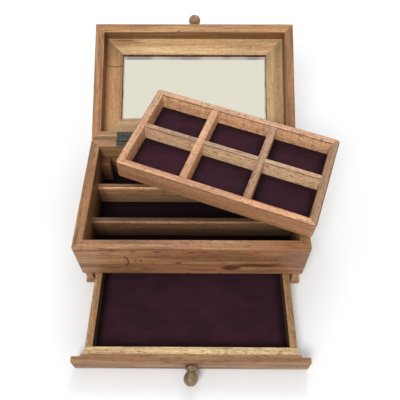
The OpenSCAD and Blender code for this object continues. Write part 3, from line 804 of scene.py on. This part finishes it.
class VANITY_OT_case_boards(bpy.types.Operator):
    """Case boards with rounded corners, base boards, dividers, posts and guides"""

    bl_idname = "vanity.case_boards"
    bl_label = "Case boards"

    def execute(self, context):
        sizes = context.scene.vanity_sizes
        for node in CASE_BOARDS:
            board(node, material_of(node), sizes.case_ease, sizes.case_corner)
        for node in BASE_BOARDS + INSIDE_BOARDS:
            board(node, material_of(node), sizes.fine_ease)
        return {"FINISHED"}


class VANITY_OT_drawer_boards(bpy.types.Operator):
    """Drawer boards, of which only the front has a broad worn edge"""

    bl_idname = "vanity.drawer_boards"
    bl_label = "Drawer boards"

    def execute(self, context):
        sizes = context.scene.vanity_sizes
        for node in DRAWER_BOARDS:
            ease = sizes.case_ease if node == "drawer_front" else sizes.fine_ease
            board(node, material_of(node), ease)
        return {"FINISHED"}


class VANITY_OT_lid_boards(bpy.types.Operator):
    """Lid boards and the moulded rails of the mirror's frame"""

    bl_idname = "vanity.lid_boards"
    bl_label = "Lid boards"

    def execute(self, context):
        sizes = context.scene.vanity_sizes
        for node in LID_BOARDS:
            corner = 0.0 if node == "lid_top" else sizes.case_corner
            board(node, material_of(node), sizes.case_ease, corner)
        for node in FRAME_RAILS:
            board(node, material_of(node), sizes.fine_ease)
        return {"FINISHED"}


class VANITY_OT_tray_boards(bpy.types.Operator):
    """Tray walls, dividers and bottom"""

    bl_idname = "vanity.tray_boards"
    bl_label = "Tray boards"

    def execute(self, context):
        sizes = context.scene.vanity_sizes
        for node in TRAY_BOARDS:
            corner = sizes.tray_corner if "divider" not in node and node != "tray_bottom" else 0.0
            board(node, material_of(node), sizes.tray_ease, corner)
        return {"FINISHED"}


class VANITY_OT_pads(bpy.types.Operator):
    """Velvet pads on every floor, crowned and tucked at their edges"""

    bl_idname = "vanity.pads"
    bl_label = "Velvet pads"

    def execute(self, context):
        sizes = context.scene.vanity_sizes
        for node in PADS:
            bm = merged_copy(node)
            axes = board_axes(bm)
            swell_pads(bm, axes, sizes.pad_crown, sizes.pad_tuck, sizes.pad_shade)
            piece = add_piece(bm, node + "_pad", material_of(node), node)
        return {"FINISHED"}


def grid_cuts(bm, axis, spacing):
    """Slices a mesh at even steps along a direction."""
    low, high = extent([vert.co for vert in bm.verts], axis)
    count = max(2, round((high - low) / spacing))
    for step in range(1, count):
        bmesh.ops.bisect_plane(
            bm, geom=bm.verts[:] + bm.edges[:] + bm.faces[:], dist=CUT_REACH,
            plane_co=axis * (low + (high - low) * step / count), plane_no=axis)


def swell_pads(bm, axes, crown, tuck, painted_shade_width):
    """Slices each pad into a grid, swells its top, rolls its edge down and keeps where its painted shade
    falls.
    """
    along, across, up = axes
    if up.z < 0:
        up = -up
    border = [edge for edge in bm.edges if edge.calc_face_angle(0.0) > SHARP_ANGLE
              and any(face.normal.dot(up) > STRAIGHT_ON for face in edge.link_faces)]
    if not border:
        raise RuntimeError("a velvet pad has no edge round its top")
    rims = [(edge.verts[0].co.copy(), edge.verts[1].co.copy()) for edge in border]
    for axis in (along, across):
        grid_cuts(bm, axis, PAD_STEP)
    dice = random.Random(RANDOM_SEED)
    phases = [dice.uniform(0, math.tau) for _ in range(4)]
    inner = bm.verts.layers.float.new("middle")
    for vert in bm.verts:
        if not any(face.normal.dot(up) > STRAIGHT_ON for face in vert.link_faces):
            continue
        gap = min(distance_to_line(vert.co, *rim) for rim in rims)
        roll = 1 - min(1.0, gap / tuck)
        # How far the point lies from the edge, which sets the velvet's painted shade
        vert[inner] = min(1.0, gap / painted_shade_width)
        u, v = vert.co.dot(along), vert.co.dot(across)
        sway = math.sin(v * WAVES_ACROSS[1] + phases[1])
        cross_sway = math.sin(u * WAVES_ALONG[1] + phases[3])
        waves = (math.sin(u * WAVES_ALONG[0] + phases[0] + sway)
                 + math.sin(v * WAVES_ACROSS[0] + phases[2] + cross_sway))
        swell = (1 - roll) * (LEVEL_SHARE + WAVE_SHARE * waves)
        vert.co += up * (crown * swell - TUCK_SHARE * crown * roll * roll)


def distance_to_line(point, start, end):
    """Distance from a point to the stretch between two others."""
    line = end - start
    share = max(0.0, min(1.0, (point - start).dot(line) / line.length_squared))
    return (point - start - line * share).length


class VANITY_OT_mirror(bpy.types.Operator):
    """Mirror glass and its backing card"""

    bl_idname = "vanity.mirror"
    bl_label = "Mirror"

    def execute(self, context):
        sizes = context.scene.vanity_sizes
        bm = merged_copy("mirror_glass")
        forward = (centre_of("mirror_glass") - centre_of("lid_top")).normalized()
        fronts = [face for face in bm.faces if face.normal.dot(forward) > STRAIGHT_ON]
        if len(fronts) != 1:
            raise RuntimeError("the mirror's glass has no single front")
        bmesh.ops.translate(bm, verts=fronts[0].verts, vec=-fronts[0].normal * sizes.silver_depth)
        axes = board_axes(bm)
        if axes[1].dot(centre_of("lid_front") - centre_of("lid_back")) < 0:
            axes[1].negate()
        halves = []
        for axis in axes[:2]:
            low, high = extent([vert.co for vert in bm.verts], axis)
            halves.append((high - low) / 2 - MIRROR_COVER - sizes.mirror_border)
        silver = mirror_silver("mirror", *halves, halves[1] - sizes.mirror_far_border)
        pane = add_piece(bm, "mirror_pane", silver, "mirror_glass")
        lay_grain(pane.data, axes, "mirror_glass")
        for face in pane.data.polygons:
            face.use_smooth = False
        NODES["mirror_card"].data.materials.clear()
        NODES["mirror_card"].data.materials.append(material_of("mirror_card"))
        return {"FINISHED"}


class VANITY_OT_knobs(bpy.types.Operator):
    """Turned knobs, each with a collar, a waist and a ball"""

    bl_idname = "vanity.knobs"
    bl_label = "Knobs"

    def execute(self, context):
        sizes = context.scene.vanity_sizes
        for node, carrier in KNOBS.items():
            points = [vert.co for vert in NODES[node].data.vertices]
            centre = sum(points, Vector()) / len(points)
            outward = way_out(carrier, centre)
            root, pole = extent(points, outward)
            foot = centre + outward * (pole - sizes.knob_reach - centre.dot(outward))
            arms = [point - foot for point in points]
            girth = max((arm - outward * arm.dot(outward)).length for arm in arms)
            bm = turned_knob(sizes, girth - KNOB_CLEARANCE, root - foot.dot(outward), outward, foot)
            piece = add_piece(bm, node + "_turned", material_of(node), node)
            sideways = outward.orthogonal().normalized()
            lay_grain(piece.data, (outward, outward.cross(sideways).normalized(), sideways), node)
        return {"FINISHED"}


def way_out(carrier, centre):
    """The direction square to a knob's board that its own centre lies in."""
    plank = merged_copy(carrier)
    outward = board_axes(plank)[2]
    heart = sum((vert.co for vert in plank.verts), Vector()) / len(plank.verts)
    plank.free()
    return outward if (centre - heart).dot(outward) > 0 else -outward


def turned(outline, foot, axis, facets):
    """Spins an outline, given as places along an axis and radii round it, into a closed mesh."""
    bm = bmesh.new()
    sideways = axis.orthogonal().normalized()
    verts = [bm.verts.new(foot + axis * place + sideways * radius) for place, radius in outline]
    edges = [bm.edges.new(pair) for pair in zip(verts, verts[1:])]
    bmesh.ops.spin(
        bm, geom=verts + edges, cent=foot, axis=axis, angle=math.tau, steps=facets, use_merge=True,
        use_duplicate=False)
    bmesh.ops.remove_doubles(bm, verts=bm.verts, dist=MERGE_REACH)
    return bm


def turned_knob(sizes, ball_r, root, outward, foot):
    """A knob: tenon, rounded collar, hollow waist and a ball with two fine turning lines."""
    collar_r = sizes.knob_collar / 2
    collar_l = sizes.knob_collar_length
    waist_r = sizes.knob_waist / 2
    ball_out = sizes.knob_reach - ball_r
    outline = [(root, 0), (root, TENON_RADIUS), (0, TENON_RADIUS)]
    for step in range(COLLAR_STEPS + 1):
        turn = math.pi * (step / COLLAR_STEPS - 0.5)
        swell = 0.35 * collar_l * (1 - math.cos(turn))
        outline.append((collar_l * (0.5 + 0.5 * math.sin(turn)), collar_r - swell))
    start = math.asin(waist_r / ball_r)
    waist_end = ball_out - ball_r * math.cos(start)
    outline.append(((collar_l + waist_end) / 2, waist_r))
    for step in range(BALL_STEPS):
        turn = start + (math.pi - start) * step / BALL_STEPS
        cuts = sum(math.exp(-((turn - line) / LINE_WIDTH) ** 2) for line in LINE_ANGLES)
        reach = ball_r - cuts * LINE_DEPTH
        outline.append((ball_out - reach * math.cos(turn), reach * math.sin(turn)))
    outline.append((ball_out + ball_r, 0))
    bm = turned(outline, foot, outward, KNOB_FACETS)
    bmesh.ops.recalc_face_normals(bm, faces=bm.faces)
    return bm


class VANITY_OT_hinges(bpy.types.Operator):
    """Hinge leaves, pins and slotted screws"""

    bl_idname = "vanity.hinges"
    bl_label = "Hinges"

    def execute(self, context):
        sizes = context.scene.vanity_sizes
        for node in LEAVES + PINS:
            bm = merged_copy(node)
            sharp = [edge for edge in bm.edges if edge.calc_face_angle(0.0) > SHARP_ANGLE]
            bmesh.ops.bevel(
                bm, geom=sharp, offset=sizes.leaf_ease, offset_type="OFFSET", affect="EDGES", segments=2,
                profile=0.5, material=-1, clamp_overlap=True)
            keep_flats_flat(add_piece(bm, node + "_eased", material_of(node), node))
        for node in SCREWS:
            bm = bmesh.new()
            for points in islands_of(node):
                slotted_screw(bm, points, sizes.screw_slot)
            add_piece(bm, node + "_slotted", material_of(node), node)
        return {"FINISHED"}


def islands_of(node):
    """The corner points of each separate solid in a node."""
    bm = merged_copy(node)
    left = set(bm.verts)
    islands = []
    for seed in bm.verts:
        if seed not in left:
            continue
        left.remove(seed)
        island, queue = [seed], [seed]
        while queue:
            for edge in queue.pop().link_edges:
                for vert in edge.verts:
                    if vert in left:
                        left.remove(vert)
                        island.append(vert)
                        queue.append(vert)
        islands.append([vert.co.copy() for vert in island])
    bm.free()
    return islands


def longest_axis(arms):
    """The direction that points spread along most, from their places about their middle."""
    axis = max(arms, key=lambda arm: arm.length).normalized()
    spread = Matrix.Diagonal((0, 0, 0))
    for arm in arms:
        spread += Matrix([[a * b for b in arm] for a in arm])
    for _ in range(AXIS_ROUNDS):
        axis = (spread @ axis).normalized()
    return axis


def slotted_screw(bm, points, slot):
    """Adds a countersunk screw with a slot across its head, in the place of a plain one."""
    centre = sum(points, Vector()) / len(points)
    arms = [co - centre for co in points]
    up = longest_axis(arms)
    girths = [(arm - up * arm.dot(up)).length for arm in arms]
    head_r = max(girths)
    shank_r = min(girths)
    if arms[girths.index(head_r)].dot(up) < 0:
        up.negate()
    tip, top = extent(arms, up)
    outline = [
        (tip, 0), (tip, shank_r * 0.5), (tip + shank_r, shank_r), (top - (head_r - shank_r), shank_r),
        (top - RIM_DROP, head_r - RIM_TUCK), (top, head_r - RIM_EASE), (top, 0)]
    own = turned(outline, centre, up, SCREW_FACETS)
    cross = up.cross(up.orthogonal().normalized()).normalized()
    for sign in (-1, 1):
        bmesh.ops.bisect_plane(
            own, geom=own.verts[:] + own.edges[:] + own.faces[:], dist=CUT_REACH,
            plane_co=centre + cross * sign * slot / 2, plane_no=cross)
    strip = [face for face in own.faces
             if abs((face.calc_center_median() - centre).dot(cross)) < slot / 2
             and (face.calc_center_median() - centre).dot(up) > top - TOP_REACH]
    if not strip:
        raise RuntimeError("a hinge screw has no room for its slot")
    sunk = bmesh.ops.extrude_face_region(own, geom=strip)
    moved = [item for item in sunk["geom"] if isinstance(item, bmesh.types.BMVert)]
    bmesh.ops.translate(own, verts=moved, vec=-up * SLOT_DEPTH)
    bmesh.ops.delete(own, geom=strip, context="FACES")
    bmesh.ops.recalc_face_normals(own, faces=own.faces)
    mesh = bpy.data.meshes.new("screw_part")
    own.to_mesh(mesh)
    own.free()
    bm.from_mesh(mesh)
    bpy.data.meshes.remove(mesh)


class VANITY_OT_stage(bpy.types.Operator):
    """Floor, lights and the camera at the picture's place"""

    bl_idname = "vanity.stage"
    bl_label = "Stage"

    def execute(self, context):
        context.scene.view_settings.view_transform = "Standard"
        lay_paper(context.scene.vanity_colours.floor)
        light_studio()
        place_camera()
        return {"FINISHED"}


def lay_paper(colour):
    """A wide sheet of studio paper just under the box."""
    bm = bmesh.new()
    bmesh.ops.create_grid(bm, x_segments=2, y_segments=2, size=FLOOR_REACH)
    mesh = bpy.data.meshes.new("floor_paper")
    bm.to_mesh(mesh)
    bm.free()
    mesh.materials.append(floor_paper("floor_paper", colour))
    floor = bpy.data.objects.new("floor_paper", mesh)
    floor.location.z = -FLOOR_DROP
    bpy.context.scene.collection.objects.link(floor)


def light_studio():
    """Even light all round and the soft square lamps."""
    world = bpy.data.worlds.new("studio")
    world.use_nodes = True
    background = world.node_tree.nodes["Background"]
    background.inputs["Color"].default_value = (*STUDIO_COLOUR, 1)
    background.inputs["Strength"].default_value = STUDIO_STRENGTH
    bpy.context.scene.world = world
    for name, (place, target, width, watts) in LAMPS.items():
        light = bpy.data.lights.new(name, "AREA")
        light.size = width
        light.energy = watts
        lamp = bpy.data.objects.new(name, light)
        lamp.location = place
        lamp.rotation_euler = (Vector(target) - Vector(place)).to_track_quat("-Z", "Y").to_euler()
        bpy.context.scene.collection.objects.link(lamp)


def place_camera():
    """The camera at the picture's place, turned and tilted as the picture was."""
    forward = Vector((
        math.sin(CAMERA_YAW) * math.cos(CAMERA_PITCH),
        math.cos(CAMERA_YAW) * math.cos(CAMERA_PITCH),
        -math.sin(CAMERA_PITCH)))
    right = Vector((math.cos(CAMERA_YAW), -math.sin(CAMERA_YAW), 0))
    up = right.cross(forward)
    turned_right = right * math.cos(CAMERA_ROLL) + up * math.sin(CAMERA_ROLL)
    turned_up = up * math.cos(CAMERA_ROLL) - right * math.sin(CAMERA_ROLL)
    lens = bpy.data.cameras.new("photo_camera")
    lens.sensor_width = SENSOR_W
    lens.lens = FOCAL_PIXELS / PICTURE_W * SENSOR_W
    camera = bpy.data.objects.new("photo_camera", lens)
    pose = Matrix((turned_right, turned_up, -forward)).transposed().to_4x4()
    pose.translation = CAMERA_PLACE
    camera.matrix_world = pose
    bpy.context.scene.collection.objects.link(camera)
    bpy.context.scene.camera = camera


class VANITY_PT_sidebar(bpy.types.Panel):
    """The finish, piece by piece"""

    bl_label = "Vanity Box"
    bl_idname = "VANITY_PT_sidebar"
    bl_space_type = "VIEW_3D"
    bl_region_type = "UI"
    bl_category = "Vanity Box"

    def draw(self, context):
        for group in (context.scene.vanity_sizes, context.scene.vanity_colours):
            for name in group.__annotations__:
                self.layout.prop(group, name)
        for operator in OPERATORS:
            self.layout.operator(operator.bl_idname)


OPERATORS = [
    VANITY_OT_case_boards, VANITY_OT_drawer_boards, VANITY_OT_lid_boards, VANITY_OT_tray_boards,
    VANITY_OT_pads, VANITY_OT_mirror, VANITY_OT_knobs, VANITY_OT_hinges, VANITY_OT_stage]
CLASSES = [VanityBoxSizes, VanityBoxColours, *OPERATORS, VANITY_PT_sidebar]


def register():
    for item in CLASSES:
        bpy.utils.register_class(item)
    bpy.types.Scene.vanity_sizes = bpy.props.PointerProperty(type=VanityBoxSizes)
    bpy.types.Scene.vanity_colours = bpy.props.PointerProperty(type=VanityBoxColours)


def unregister():
    del bpy.types.Scene.vanity_colours
    del bpy.types.Scene.vanity_sizes
    for item in reversed(CLASSES):
        bpy.utils.unregister_class(item)


def main():
    """Makes the whole finish."""
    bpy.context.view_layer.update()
    register()
    bpy.ops.vanity.case_boards()
    bpy.ops.vanity.drawer_boards()
    bpy.ops.vanity.lid_boards()
    bpy.ops.vanity.tray_boards()
    bpy.ops.vanity.pads()
    bpy.ops.vanity.mirror()
    bpy.ops.vanity.knobs()
    bpy.ops.vanity.hinges()
    bpy.ops.vanity.stage()


if __name__ == "__main__":
    main()
